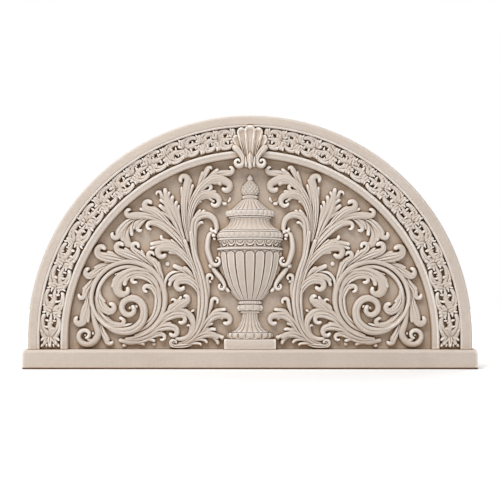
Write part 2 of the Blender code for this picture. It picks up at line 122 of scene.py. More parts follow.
# Stone colours, linear, and how far in metres the wear with its painted highlight and the two painted shades
# look for other surfaces.
# The sunk ground's colours are a brown wash with painted shade. The patina tint and the crevice colour are
# painted shade, tinted brown.
TOP_COLOUR = (0.62, 0.536, 0.468, 1)
WEATHERED_COLOUR = (0.575, 0.492, 0.424, 1)
GROUND_WASH_AND_SHADE_COLOUR = (0.54, 0.445, 0.365, 1)
CREVICE_WASH_AND_SHADE_COLOUR = (0.115, 0.047, 0.010, 1)
PATINA_AND_SHADE_TINT = (0.96, 0.845, 0.70, 1)
PATCH_WASH_AND_SHADE_COLOUR = (0.47, 0.375, 0.297, 1)
WORN_AND_HIGHLIGHT_COLOUR = (0.96, 0.915, 0.87, 1)
SPECKLE_COLOUR = (0.42, 0.34, 0.27, 1)
GRAIN_COLOUR = (0.78, 0.70, 0.62, 1)
WORN_AND_HIGHLIGHT_REACH = 0.016
PATINA_AND_SHADE_REACH = 0.035
CREVICE_REACH = 0.009


class Leaf(NamedTuple):
    """One stem or lobe: its spine runs through path and then winds round its eye, if it has one.

    It turns round the eye by turn degrees, from radius to tip_radius, a share of radius. It is as wide as
    width at its peak, a share of its length, and root and tip are shares of that width. It stands on floor
    and starts at rise of its height. Its face has this many round reeds side by side, by default more on a
    wider leaf, parted by grooves as deep as a share of the height, which end where fades says. With 0 reeds
    it is one hollow inside a rim.
    """

    width: float
    height: float
    path: tuple
    eye: tuple = None
    radius: float = 0.0
    turn: float = 0.0
    tip_radius: float = None
    root: float = 0.45
    tip: float = 0.35
    peak: float = None
    reeds: int = None
    groove: float = 0.20
    fades: float = 0.86
    rise: float = 0.66
    floor: float = -SINK


def polar(centre, *marks):
    """Points of an arc or spiral through (radius, degrees) marks about a centre, one every 30 degrees."""
    points = []
    for (r0, a0), (r1, a1) in zip(marks, marks[1:]):
        count = max(1, round(abs(a1 - a0) / 30))
        for step in range(count):
            share = step / count
            points.append((r0 + (r1 - r0) * share, a0 + (a1 - a0) * share))
    points.append(marks[-1])
    u, v = centre
    return tuple((u + r * math.cos(math.radians(a)), v + r * math.sin(math.radians(a))) for r, a in points)


def on_arch(radius, degrees):
    """The point at a radius of the arch, this many degrees up from its springing."""
    return polar((0.0, LEG), (radius, degrees))[0]


def stem(width, height, path, reeds):
    """A long stem of even width, with reeds along it."""
    return Leaf(width, height, path, root=0.8, tip=0.6, peak=0.4, reeds=reeds, groove=0.16, fades=1.3)


def hook(width, height, path, eye, radius, turn):
    """A lobe whose end curls round an eye."""
    return Leaf(width, height, path, eye, radius, turn, tip=0.42)


def finger(width, height, *path):
    """A small lobe with a round free end."""
    return Leaf(width, height, path, root=0.5, tip=0.75)


RING = (122.5, 50.5)  # centre of the large scroll

SCROLL = (
    stem(6.6, 0.029, polar(RING, (38.4, 262), (36.6, 180), (38, 90), (37.8, 0), (35.2, -50), (34.5, -80)), 1),
    stem(5.8, 0.025, polar(RING, (34, 262), (31.4, 180), (32.6, 90), (32, 0), (30.5, -50)), 1),
    stem(3.6, 0.022, polar(RING, (31.5, 250), (27.6, 180), (28.6, 120), (28.4, 60)), 1),
    Leaf(9, 0.032, ((150, 30), (140, 20.5), (129.5, 18), (117.5, 20), (109, 28)), (121, 40.6), 14.2, 440,
         0.17, tip=0.55, peak=0.3, reeds=2, groove=0.12, fades=0.9),
    Leaf(4.5, 0.024, ((146, 34), (137, 25.5), (128, 23.5), (119, 25.5)), tip=0.3),
)

SCROLL_LEAVES = (
    hook(8.6, 0.029, ((136, 87), (148, 82), (157, 75.8)), (162.8, 78.2), 4.7, 232),
    finger(4.8, 0.023, (140, 87.5), (150, 84.5), (157.8, 81.2)),
    finger(4, 0.022, (146, 80), (153, 75.5), (158, 71)),
    hook(10.1, 0.032, ((120, 88), (132, 90.3), (143, 92.2)), (149.5, 99.6), 5.6, 252),
    finger(5.1, 0.026, (126, 91.5), (136, 95), (144.6, 98)),
    finger(4.4, 0.025, (128, 88), (139, 88.6), (147.5, 88.3)),
    finger(4.6, 0.026, (132, 89), (143, 90), (151.8, 91)),
    hook(8.8, 0.033, ((104, 86), (114, 91.5), (123, 95.2)), (130.6, 103.2), 4.9, 242),
    finger(4.8, 0.028, (110, 91), (120, 97), (127, 102)),
    finger(4.8, 0.026, (116, 90.5), (126, 93.5), (133.5, 96.4)),
    hook(6.6, 0.031, ((97, 83), (106, 91.5), (112.5, 96.5)), (115, 103.6), 4, 277),
    finger(3.7, 0.026, (100, 86), (107, 94), (110, 100)),
    hook(6.8, 0.029, ((86, 60), (90.5, 76), (96.5, 88)), (99.2, 94.8), 4, 252),
    finger(4.4, 0.026, (87, 68), (91, 80), (92.6, 88.5)),
    hook(7, 0.026, ((154, 78), (161, 66), (166, 58.8)), (170.6, 54.6), 3.7, 207),
    finger(4, 0.024, (160, 70), (165.5, 63), (169.2, 59.8)),
    hook(9.5, 0.029, ((161.5, 62), (164.5, 44), (167.5, 33)), (173, 29.6), 4.8, 252),
    finger(4.8, 0.026, (163, 52), (167.5, 42), (170, 35.5)),
    finger(5.1, 0.026, (161.5, 48), (162.8, 36), (163.8, 26.5)),
    Leaf(7.7, 0.028, ((160.5, 54), (158.6, 36), (156, 25), (153.2, 15.5)), (166, 13.6), 10.8, 440, 0.17,
         tip=0.42, peak=0.45, reeds=1),
    Leaf(4.4, 0.024, ((153.5, 14), (156.5, 9.5), (160.5, 8.2)), (161.8, 12), 2.8, 160, tip=0.5),
    hook(8.8, 0.030, ((152.5, 60), (151.8, 49), (147, 40.6)), (140.8, 42.6), 4.8, 247),
    finger(4.4, 0.026, (153.5, 62), (150.8, 52), (146.2, 46.6)),
    finger(5.5, 0.024, (156.5, 52), (153, 41), (148.8, 34.8)),
    finger(4.8, 0.025, (152, 48), (147, 39), (141.4, 34.6)),
    hook(7.9, 0.024, ((156.5, 54), (153.5, 40), (148, 30.5), (139.5, 24.6)), (131, 28.2), 4.6, 217),
    Leaf(6.8, 0.026, ((151.5, 28), (148.6, 17.5), (144.8, 9.8)), (141, 8), 3.3, 170, tip=0.5, reeds=2),
    finger(4.4, 0.024, (150, 20), (147, 12), (144.6, 6.4)),
    stem(5.5, 0.020, ((133, 9), (121, 6.4), (113.5, 6.6), (106, 4.2)), 1),
    Leaf(10.3, 0.031, polar((111.5, 59), (20, 205), (21, 150), (20, 90), (22, 40), (23, 20)), (126.8, 60.2),
         7.4, 240, 0.36, tip=0.3, peak=0.78, reeds=2),
    finger(5.5, 0.031, (106, 77), (119, 75), (125, 70.5), (126.8, 63.5)),
    finger(5.1, 0.030, (112, 79.5), (124, 79), (132.5, 74), (138.4, 68)),
    finger(5.1, 0.030, (116, 80), (129, 76.5), (136, 69.5), (139.2, 61.6)),
    hook(6.8, 0.028, ((92, 54), (98.5, 67), (105.6, 72.5), (112, 74)), (116, 69.6), 3.9, 232),
    hook(6.2, 0.026, ((92.5, 42), (94.5, 54), (98.6, 62)), (104.4, 60.2), 3.6, 232),
    finger(4.2, 0.024, (91, 60), (97, 70.5), (105, 77.5)),
)

LINK_LEAVES = (
    Leaf(9.9, 0.028, ((126.5, 9.5), (111.5, 11.5), (99.5, 17), (91.5, 24.5), (84.5, 33)), (71, 23), 16, 238,
         0.80, tip=0.40, peak=0.35, reeds=2),
    stem(6.2, 0.023, ((126, 7), (109.5, 8.5), (99.5, 13), (89.5, 19), (84, 21)), 2),
    hook(7.3, 0.030, ((97, 20), (86, 29.5), (77, 34)), (69.6, 29.6), 4.8, 242),
    hook(7.9, 0.031, ((103, 14.5), (91, 21), (82, 22.6)), (77.8, 16.8), 4.8, 257),
    finger(4.4, 0.027, (92, 22.5), (85, 25.5), (79, 26.2)),
    finger(4.4, 0.027, (96, 19), (89, 23.5), (82.4, 24.4)),
    hook(5.5, 0.026, ((111, 8), (100, 12), (93.2, 15)), (89, 11.4), 3.5, 237),
    finger(4, 0.024, (106, 8.5), (100, 9.5), (95.4, 7.6)),
    Leaf(9.2, 0.031, ((89, 28), (80.5, 37.5), (72.5, 43.8), (67.6, 46.6)), (65.6, 51.4), 3.3, 215, tip=0.36),
    finger(5.1, 0.027, (84, 31), (74, 39.5), (63.4, 45.4)),
    finger(4.6, 0.026, (83, 36), (77.5, 43), (72.4, 50)),
    finger(4.4, 0.028, (80, 38), (74.5, 44.5), (68.8, 53.4)),
    Leaf(5.1, 0.026, ((84, 34), (80.5, 42)), (78, 48), 3.1, 220),
    Leaf(5.4, 0.029, ((58, 4.4), (68, 3)), (76.8, 6.4), 3.5, 300, tip=0.5),
    finger(2.8, 0.022, (60.8, 36.4), (58.4, 38.2), (56, 39.4)),
    finger(3, 0.024, (58.4, 34.2), (60.6, 32.6), (62.6, 30.4)),
    Leaf(4, 0.022, ((65.5, 10.5), (61.2, 16.5), (59.8, 21)), (62.2, 22.2), 2.2, 150, tip=0.5),
)

TRUNK = (
    stem(8.2, 0.034, ((74, 3), (62.5, 8), (54.4, 16), (49.6, 26), (47, 37), (45.6, 49), (46.8, 63),
         (50.6, 79), (55, 92), (57.4, 104), (59.5, 120)), 2),
    stem(6.6, 0.030, ((66, 3), (58, 11), (53.2, 22), (50.6, 36), (50, 50), (52, 66), (56.8, 82), (62, 97),
         (66.4, 111)), 2),
    hook(5, 0.028, ((42.4, 46), (42, 60), (43.4, 69)), (40.2, 71.9), 3.4, 257),
    hook(5.2, 0.027, ((44.5, 22), (41.5, 36), (39.2, 45.5)), (35.2, 47.8), 3.7, 232),
    hook(8.4, 0.033, ((60, 6), (49.5, 18), (42.2, 28.6), (34, 34.2)), (24.2, 28.8), 4.9, 240),
    finger(4.8, 0.030, (47, 22), (41.5, 31.5), (35, 38), (24, 40)),
    finger(4.4, 0.030, (50, 20), (43, 28), (36, 33), (29, 31.5)),
    finger(4.2, 0.028, (50, 17), (43.5, 23.5), (37, 26.6)),
    finger(4, 0.027, (52, 14), (46.5, 18.8), (41.2, 21.6)),
    Leaf(8, 0.031, ((64, 5), (53.5, 11.6), (44, 15), (37, 14.2), (31.4, 10.2)), tip=0.6, reeds=2),
    finger(4.4, 0.029, (53, 12), (45.5, 17), (39, 20), (34, 19.4)),
    finger(4.2, 0.029, (42, 14.5), (35, 14), (29.5, 12.2), (27.2, 10.4)),
    finger(4.2, 0.028, (42, 12.5), (36.5, 11), (32.6, 7), (32.2, 4.2)),
    finger(3.8, 0.027, (60, 6), (51.5, 9.5), (45.8, 9), (42.8, 5.8)),
    finger(3.4, 0.025, (66, 2.8), (57.5, 5.6), (51, 5.4), (49, 3.2)),
)

MIDDLE_LEAVES = (
    hook(9, 0.033, ((47.5, 44), (51.5, 59), (57, 66.5), (63.5, 69.8)), (69.8, 63.8), 5.4, 262),
    finger(5.3, 0.029, (50.5, 60), (57, 70), (66, 74.8), (76, 73.2), (82.2, 68.4)),
    finger(5.1, 0.029, (52, 62), (60, 70), (70, 72.4), (78.5, 69.5), (82, 63.4)),
    finger(4, 0.025, (58, 72), (68, 77.6), (79, 76.6), (85.2, 69), (86, 60)),
    finger(5.5, 0.028, (54, 68), (66, 78.5), (78, 84.6)),
    finger(4.8, 0.027, (53, 66), (59, 75), (64.4, 81), (68, 82.4)),
    hook(9.5, 0.034, ((50, 64), (58.5, 84), (66.5, 94), (74.5, 100.5), (82, 103)), (88.3, 97), 5.6, 257),
    finger(5.5, 0.030, (58, 86), (67, 97), (77, 104.5), (89, 107.2), (101, 105.4)),
    finger(4.8, 0.030, (60, 86), (70, 96.5), (80, 102.5), (91, 104.2), (101, 101.2)),
    finger(4.4, 0.027, (70, 98), (80.5, 108), (88.5, 110.5), (90, 115)),
    finger(5.1, 0.029, (56, 76), (64.5, 90), (73, 97), (82.5, 97.8)),
    finger(4.2, 0.026, (66, 96), (73, 104.5), (80.2, 110.6)),
)

UPPER_LEAVES = (
    hook(8.1, 0.031, ((60, 98), (73.5, 117), (84.5, 127), (94.5, 132), (105, 134.6), (115, 134.6)),
         (121.8, 138.4), 3.9, 232),
    hook(8.8, 0.033, ((74, 116), (88, 132), (96, 138.4)), (102.2, 145.8), 4.8, 247),
    finger(4.6, 0.029, (82, 128), (91.5, 138.5), (98.6, 143.4)),
    finger(5.1, 0.028, (92, 134), (103, 138.4), (111.6, 141.8)),
    Leaf(6.6, 0.027, ((97, 132.5), (106.5, 131), (112, 126.4)), (110.8, 121.4), 3, 190, tip=0.4),
    finger(4.4, 0.026, (104, 132), (114, 128.5), (117.6, 120.5)),
    hook(7.9, 0.029, ((108, 133.8), (121, 129.8), (128.5, 123), (132.2, 117.4)), (136.6, 115.6), 4, 232),
    Leaf(9.5, 0.025, ((118, 130.5), (124.6, 120), (126, 112), (123, 105.8), (117.6, 104.2)), tip=0.6,
         reeds=2),
    finger(4.8, 0.026, (116, 131), (119.6, 123), (119.4, 114)),
    finger(4.6, 0.026, (124, 124), (129.6, 115.5), (128.4, 108)),
    Leaf(7.3, 0.032, ((57, 86), (66.5, 102.5), (75, 113), (84.5, 121.8), (92.5, 126.6)), (100.4, 123.2), 4.3,
         215, tip=0.3),
    finger(4.2, 0.028, (82, 121), (91, 129.5), (100, 130.6)),
    Leaf(10.6, 0.031, ((65, 104), (72.5, 124), (78.8, 137), (83.4, 149), (86, 162.6)), tip=0.3, reeds=2),
    finger(5.5, 0.029, (72, 126), (77, 140), (79.2, 149), (77.8, 155)),
    finger(5.1, 0.028, (70, 124), (74, 138), (75.2, 145), (73.4, 149.6)),
    finger(4.6, 0.027, (68, 120), (71.2, 132), (72.6, 139), (71.6, 145.6)),
    finger(5.5, 0.028, (76, 130), (84, 139), (92.2, 145.6)),
    finger(5.1, 0.027, (73, 124), (81, 133), (90.6, 138.6)),
    finger(4.4, 0.030, (81, 140), (86.4, 147.4), (91.4, 151.2)),
    finger(3.8, 0.030, (83, 146), (86.8, 152.4), (90.4, 156.8)),
    finger(3.8, 0.030, (82, 146), (82.6, 153), (81.2, 159.2)),
    Leaf(5.3, 0.027, ((84, 144), (88.6, 153)), (92.6, 156.2), 3.2, 200),
)

CROWN_LEAVES = (
    hook(9, 0.032, ((62, 108), (66, 130), (66, 150), (63.6, 163.5)), (67.4, 170.8), 4.6, 252),
    finger(4.6, 0.028, (64, 140), (62.8, 156), (59.2, 171.6)),
    finger(4.6, 0.028, (62, 138), (61.2, 152), (57.6, 166.4)),
    finger(4.4, 0.028, (66.5, 144), (68.4, 156), (69, 164)),
    Leaf(9.4, 0.034, ((59.5, 110), (61.5, 130), (59.3, 145), (53.5, 157), (46, 166), (38, 171.4), (31, 172)),
         (24.6, 163.6), 4.9, 235, tip=0.5),
    hook(7.6, 0.030, ((52, 160), (42, 171.5), (31, 176.6), (25.5, 177.2)), (20, 181.4), 3.3, 215),
    finger(4.8, 0.029, (46, 170), (37.5, 177), (31.5, 181.8)),
    Leaf(6, 0.028, ((57, 152), (51.5, 165), (46.5, 174), (43.6, 180)), (40.6, 181.6), 1.9, 190, tip=0.6),
    finger(4.6, 0.026, (55, 158), (50.8, 168), (47.4, 179.6)),
    finger(6, 0.032, (46, 165), (37, 168.6), (31.4, 168.4), (29, 165)),
    hook(6.2, 0.030, ((58.5, 147), (52.5, 159), (47, 164.6)), (42.2, 162.4), 3.6, 232),
    Leaf(8.6, 0.033, ((58, 106), (60.5, 128), (58.6, 141), (54, 151), (47.5, 156.6), (41, 156.4)),
         (36, 148.2), 6.2, 245, 0.42, tip=0.3),
    finger(4.6, 0.028, (58, 144), (51.5, 154), (42.5, 158.6), (33.6, 158.8)),
    finger(4.4, 0.028, (57, 140), (51.5, 150), (43.5, 153.4), (37.2, 149.6)),
    finger(4, 0.025, (59, 136), (56.5, 143.5), (52.5, 148), (48.5, 149.6)),
    Leaf(8.1, 0.032, ((49, 70), (54.6, 92), (57, 110)) + polar((45, 124.5), (12, -10), (11, 90), (11, 175)),
         (37.2, 121.2), 3.7, 235, tip=0.4, peak=0.6, reeds=2),
    finger(3.7, 0.027, (56.5, 112), (53.2, 124), (49.5, 128), (47, 126.6)),
    finger(4.8, 0.029, (57, 118), (52.5, 133), (45, 140.4)),
    finger(4.4, 0.028, (58, 122), (54.8, 134), (49.4, 140.6)),
    finger(3.5, 0.018, (30, 150.5), (26.8, 146.8), (23.2, 146.8)),
    finger(3.2, 0.011, (22.8, 148.2), (20.8, 150.2), (20, 153.6)),
)

HANDLE = (
    Leaf(6.2, 0.044, ((36, 117.5), (40.5, 115.5), (42.6, 108), (42.8, 100), (40.5, 92)), (33.8, 89.2), 5.2,
         260, 0.46, root=0.8, tip=0.5, peak=0.5, reeds=1),
    Leaf(5.6, 0.040, ((39.5, 85), (34, 77), (28.4, 70)), (29, 63.2), 3.6, 300, 0.44, root=0.8, tip=0.5,
         peak=0.4, reeds=1),
    finger(4, 0.034, (27, 66), (24.2, 61.4), (20.6, 57.6)),
)

# Round knobs in the eyes of scrolls and at the edges of leaves: (u, v, radius, height)
KNOBS = (
    (121, 41.4, 1.6, 0.026), (114.5, 43, 2, 0.026), (171.5, 51.6, 2.4, 0.027), (166.5, 52, 1.8, 0.024),
    (166.2, 14, 1.4, 0.022), (158.4, 15.5, 1.6, 0.022), (127, 3.4, 2.2, 0.014), (97, 4.8, 2, 0.012),
    (83.5, 86, 2.4, 0.012), (76.8, 6.3, 1.8, 0.026), (40.5, 68, 1.8, 0.026), (28.5, 31.5, 2.2, 0.030),
    (28, 11.5, 2.4, 0.028), (37, 149, 2, 0.030), (110.5, 126, 1.8, 0.026), (98.5, 142.5, 1.8, 0.028),
    (121, 134.5, 2, 0.027), (150.2, 103.8, 1.4, 0.027),
)

HANDLE_KNOBS = (
    (36.5, 114.6, 2.3, 0.046), (36, 111.4, 1.7, 0.042), (34.5, 117.8, 2, 0.044), (39.5, 84, 2.8, 0.040),
    (33.8, 89, 1.7, 0.044), (28.8, 62.8, 1.5, 0.038),
)

# The shell keystone: hollow ribs on a backing, fanned out of a foot of plain reeds, between two small volutes
SHELL_LEAVES = (
    Leaf(26, SHELL_HEIGHT - 0.012, ((0, 186), (0, 200), (0, 217)), root=0.3, tip=0.7, rise=0.92, peak=0.75,
         reeds=1),
    Leaf(11.8, SHELL_HEIGHT, ((0, 184), (0, 204), (0, 225.2)), root=0.36, tip=0.94, peak=0.88, reeds=0,
         rise=0.93),
    Leaf(10, SHELL_HEIGHT - 0.001, ((3.6, 184), (4.8, 200), (7, 212.5), (9.4, 222.8)), root=0.44, tip=0.94,
         peak=0.86, reeds=0, rise=0.93),
    Leaf(9, SHELL_HEIGHT - 0.006, ((5.2, 184), (8.2, 198), (11.4, 207.4), (15.6, 215)), root=0.48, tip=0.94,
         peak=0.86, reeds=0, rise=0.93),
    Leaf(7.6, SHELL_HEIGHT - 0.003, ((17.4, 204.8), (13, 201), (9.7, 197.2), (7.6, 193.2)), (11.8, 188.2),
         4.8, 400, 0.24, root=0.9, tip=0.36, peak=0.18, rise=0.97, reeds=2, groove=0.06, fades=0.75),
    Leaf(14, SHELL_HEIGHT - 0.002, ((0, 199), (0, 191), (0, 182.8)), root=0.5, tip=0.8, rise=0.95, peak=0.6,
         reeds=1),
    Leaf(4.8, SHELL_HEIGHT - 0.001, ((4.6, 194), (4.3, 189), (3.6, 183.4)), root=0.3, tip=0.8, rise=0.97,
         reeds=1),
    Leaf(6.2, SHELL_HEIGHT + 0.002, ((0, 198.4), (0, 190), (0, 181.8)), root=0.2, tip=0.6, rise=0.95,
         peak=0.6, reeds=1),
)

SHELL_KNOBS = ((11.8, 188.3, 1.5, 0.062),)

# The leaf band's cells, which start at this pitch in degrees along the arch and shorten toward the crown
BAND_MIDDLE = 200.9
BAND_CELLS = 14
BAND_FIRST_PITCH = 7.54
BAND_PITCH_LOSS = 0.1035

# How hand carving strays: the most, and the phases by cell and by leaf, first in squares across the band,
# then in cells along it and as a share of width
BAND_STRAY = ((0.7, 2.3, 1.7), (0.035, 1.9, 2.6), (0.13, 3.1, 0.9))

# Each leaf of a cell: width, height, path and reeds. The path goes by cells along the arch and by squares
# across it, outward from the band's middle.
BAND_LEAVES = (
    (8.6, 0.024, ((-0.12, -1.5), (0.12, 4.6), (0.34, 7.9), (0.56, 8.5), (0.76, 7.2), (0.84, 4.8)), 2),
    (8.6, 0.024, ((-0.12, 1.5), (0.12, -4.6), (0.34, -7.9), (0.56, -8.5), (0.78, -7.4), (0.88, -5)), 2),
    (10.6, 0.026, ((0.94, -1), (1, 4.2), (1.04, 10)), 3),
    (10.6, 0.026, ((0.94, 1), (1.02, -4.2), (1.08, -10)), 3),
    (6.6, 0.023, ((-0.02, 0.2), (0.24, 0.9), (0.5, -0.5), (0.76, 0.3), (1.02, 0)), 1),
    (5, 0.023, ((0.1, 1.5), (0.24, 3.4), (0.33, 4.8)), 1),
    (5, 0.023, ((0.1, -1.5), (0.24, -3.4), (0.31, -5)), 1),
    (4.2, 0.025, ((1.02, 1.2), (0.84, 3.2), (0.72, 3.2)), 1),
    (4.2, 0.025, ((1.02, -1.2), (0.86, -3.2), (0.75, -3)), 1),
    (3.6, 0.027, ((0.99, 5.4), (0.9, 8), (0.88, 10.2)), 1),
    (3.6, 0.027, ((1.01, -5.4), (0.93, -8.2), (0.92, -10.2)), 1),
    (3.4, 0.025, ((0.14, 5.2), (0.24, 8.6), (0.25, 10.2)), 1),
    (3.4, 0.025, ((0.16, -5.2), (0.26, -8.6), (0.27, -10.4)), 1),
    (3, 0.023, ((0.46, 8.4), (0.42, 6.6), (0.44, 5.2)), 1),
    (3, 0.023, ((0.48, -8.4), (0.44, -6.8), (0.46, -5.2)), 1),
    (3, 0.022, ((0.58, -0.4), (0.54, 1.6), (0.56, 3)), 1),
    (3.8, 0.024, ((0.33, -0.2), (0.37, 3), (0.35, 6.2)), 1),
    (3.8, 0.024, ((0.36, 0.2), (0.39, -3), (0.4, -6.2)), 1),
    (3.4, 0.023, ((0.62, 0.2), (0.65, 3), (0.64, 5.6)), 1),
    (3.4, 0.023, ((0.64, -0.2), (0.67, -3), (0.69, -5.6)), 1),
)

# The leaves that fill the band's foot, below the springing. Their paths go by squares across the band and up,
# and most are there twice, on both sides of its middle.
BAND_FOOT = (
    (6.4, 0.024, ((0, 14), (3.4, 10), (6.6, 4.4)), 2, (1, -1)),
    (5.6, 0.026, ((0, 15), (0.4, 8), (0, 2)), 2, (1,)),
    (4.4, 0.025, ((2, 13), (6.6, 11), (9.6, 8.6)), 1, (1, -1)),
    (3.6, 0.022, ((2, 7), (3.4, 4.4), (3.6, 2.2)), 1, (1, -1)),
    (3.6, 0.022, ((5.6, 5.4), (8.2, 4), (9.4, 2.2)), 1, (1, -1)),
)

# The urn's turned profile: (height in the drawing, half width, bulge of the stretch above it)
URN_PROFILE = (
    (10, 20.4, 0.5), (10.9, 22.2, 0.9), (16, 22.2, 0), (16.4, 17.4, 0), (16.9, 18.8, -2), (26, 10.6, -0.5),
    (31, 8.2, 0), (36, 8, 0), (36.4, 9.6, 0.2), (37.9, 9.6, 0), (38.2, 8.4, 0), (38.6, 12.2, 1.4),
    (44, 12.2, 0), (44.5, 9, 0), (45, 11.3, 0.6), (47.8, 11.3, 0), (48.2, 9.4, 0), (49, 12, 0.6),
    (59.3, 20.8, 0.7), (68, 25.6, 0.4), (76.4, 28.9, 0.3), (85, 31.3, 0.2), (98.6, 32.7, 0), (99.1, 31.2, 0),
    (99.6, 33.4, 0.2), (101.4, 33.2, 0), (101.8, 31, 0), (102.2, 32, -1.2), (108.8, 32, 0), (109.2, 30.8, 0),
    (109.6, 33.2, 0.2), (111.2, 33.2, 0), (111.5, 31.4, 0), (111.9, 34.2, 1), (117, 33.8, 0),
    (117.4, 30.6, 0), (117.8, 31.8, 0.1), (119, 31.2, 0), (119.3, 29.2, 0), (119.7, 30.2, -1.9),
    (127.6, 20.6, -0.5), (131, 20.2, 0), (131.3, 18.8, 0), (131.7, 21.6, 0.1), (132.9, 21.6, 0),
    (133.2, 19.8, 0), (133.6, 24.2, 0.9), (139, 24.2, 0), (139.4, 18.4, 0), (139.8, 19.8, -0.4),
    (150.2, 8.4, -0.2), (151, 6.6, 0), (151.6, 7.4, 0.5), (154.2, 7.4, 0), (154.8, 5.6, 0), (155.6, 7.4, 0.5),
    (160.5, 9.1, 0.6), (166, 6.4, 0.3), (169.8, 2.6, 0), (170.4, 2, 0), (171.6, 2.9, 0.3), (173.4, 2.2, 0),
    (175.8, 0.5, 0),
)
PROFILE_STEP = 0.62  # squares between the rows of the urn's surface
URN_STILT = 0.012  # metres from the field to the outline, and relief as a share of half width
URN_DEPTH_SHARE = 0.46
URN_COLUMNS = 224

# How far the urn's rings bow up toward the front: (height in the drawing, squares)
URN_BOW = ((10, 0), (17, 0.3), (48, 0.9), (90, 1.6), (103, 1.6), (116, 1.3), (138, 1.4), (160, 0.6), (175, 0))
SIDE_CUT = 0.3  # the share of each cut that also narrows the urn's outline

# Reeded stretches of the urn: their heights in the drawing, depth as a share of the urn's reach, reeds to the
# half round and the power that narrows the grooves
URN_REEDS = (
    (10.9, 16, 0.18, 8.2, 0.42),  # roll of the foot
    (16.9, 36, 0.24, 9, 0.42),  # flare of the foot
    (38.6, 44, 0.18, 5, 0.5),  # knop
    (45, 47.8, 0.14, 13, 0.6),  # roll below the bowl
    (111.9, 117, 0.06, 17, 0.45),  # roll of the shoulder
    (119.7, 131, 0.10, 15, 0.42),  # neck
    (133.6, 139, 0.08, 13, 0.45),  # roll of the lid
    (139.8, 150.4, 0.18, 12, 0.42),  # cone of the lid
)

# The finial's scales: where they are, how deep and how many, and the height in which they slant half a round
FINIAL = (155.8, 169.6)
SCALE_DEPTH = 0.27
SCALES = 6
SCALE_SLANT = 31
SCALE_POWER = 0.5

# The bowl's gadroons: so many to the half round, with round heads from this height on and this tall. Depths
# are shares of the urn's reach, and ways in from the edge are shares of a gadroon's half width.
GADROONS = 9.6
BOWL = (49.2, 98.6)
HEAD_FROM = 93.2
HEAD_TALL = 4.8
PAST_HEADS = -0.3
GROOVE_DEPTH = 0.13
GROOVE_WIDTH = 0.11
SPANDREL_DEPTH = 0.07
DISH_DEPTH = 0.03
DISH_FROM = 0.24
DISH_SLOPE = 0.2

# The frieze's scallops, one over each gadroon: their top and drop in the drawing, the groove inside their
# rims, and the darts between them on the sunk ground
FRIEZE = (102.2, 108.8)
SCALLOP_TOP = 108.6
SCALLOP_DROP = 5.6
RIM_DEPTH = 0.08
RIM_AT = 0.62
RIM_WIDTH = 0.14
FRIEZE_DEPTH = 0.11
DART_WIDTH = 0.20
DART_FROM = 0.45

PLINTH_HALF_WIDTH = 26
PLINTH_TOP = 10.2
PLINTH_CHAMFER = 0.35

# A knob: sections of its dome, points round it, its foot as a share of its radius, and shares of its height
# to its widest place, to the dome and of the dome
KNOB_ROWS = 5
KNOB_POINTS = 14
KNOB_FOOT = 0.85
KNOB_WIDEST = 0.3
KNOB_DOME_FROM = 0.45
KNOB_DOME = 0.55
LEAST_KNOB_RING = 0.05  # squares


def place(u, v, height, side=1):
    """The drawing's point (u, v), this far in front of the field, on the right (1) or left (-1) half."""
    return (side * u * SQUARE, FIELD_Y - height, FOOT_Z + v * SQUARE)


def curl(last, heading, leaf):
    """The spine's turns round the eye: a spiral that meets the path as a tangent and closes in.

    Unless the leaf says how far, it closes in as fast as the leaf narrows, so the eye stays one small hole.
    """
    eye = np.array(leaf.eye)
    away = last - eye
    side = 1 if heading[0] * -away[1] - heading[1] * -away[0] > 0 else -1
    start = math.atan2(away[1], away[0])
    distance = max(np.hypot(*away), leaf.radius * 1.001)
    start += side * math.acos(leaf.radius / distance)
    closing = leaf.tip_radius
    closes = CLOSING
    if closing is None:
        closing = max(LEAST_CLOSING, 1 - leaf.width / 2 * (1 - leaf.tip) / leaf.radius)
        closes = 1.0
    count = max(2, round(leaf.turn / CURL_STEP))
    share = np.arange(count + 1) / count
    radii = leaf.radius * (1 + (closing - 1) * share**closes)
    angles = start + side * np.radians(leaf.turn) * share
    return eye + np.stack([radii * np.cos(angles), radii * np.sin(angles)], axis=1)


def smooth(points):
    """A dense smooth line through the points (a centripetal Catmull-Rom curve)."""
    ends = np.vstack([2 * points[0] - points[1], points, 2 * points[-1] - points[-2]])
    line = []
    for p0, p1, p2, p3 in zip(ends, ends[1:], ends[2:], ends[3:]):
        gaps = (p1 - p0, p2 - p1, p3 - p2)
        _, k1, k2, k3 = np.cumsum([0] + [max(np.hypot(*gap), 1e-6) ** 0.5 for gap in gaps])
        t = np.linspace(k1, k2, SMOOTH_STEPS + 1)[:-1, None]
        a1 = (k1 - t) / k1 * p0 + t / k1 * p1
        a2 = ((k2 - t) * p1 + (t - k1) * p2) / (k2 - k1)
        a3 = ((k3 - t) * p2 + (t - k2) * p3) / (k3 - k2)
        b1 = ((k2 - t) * a1 + t * a2) / k2
        b2 = ((k3 - t) * a2 + (t - k1) * a3) / (k3 - k1)
        line.extend(((k2 - t) * b1 + (t - k1) * b2) / (k2 - k1))
    line.append(points[-1])
    return np.array(line)


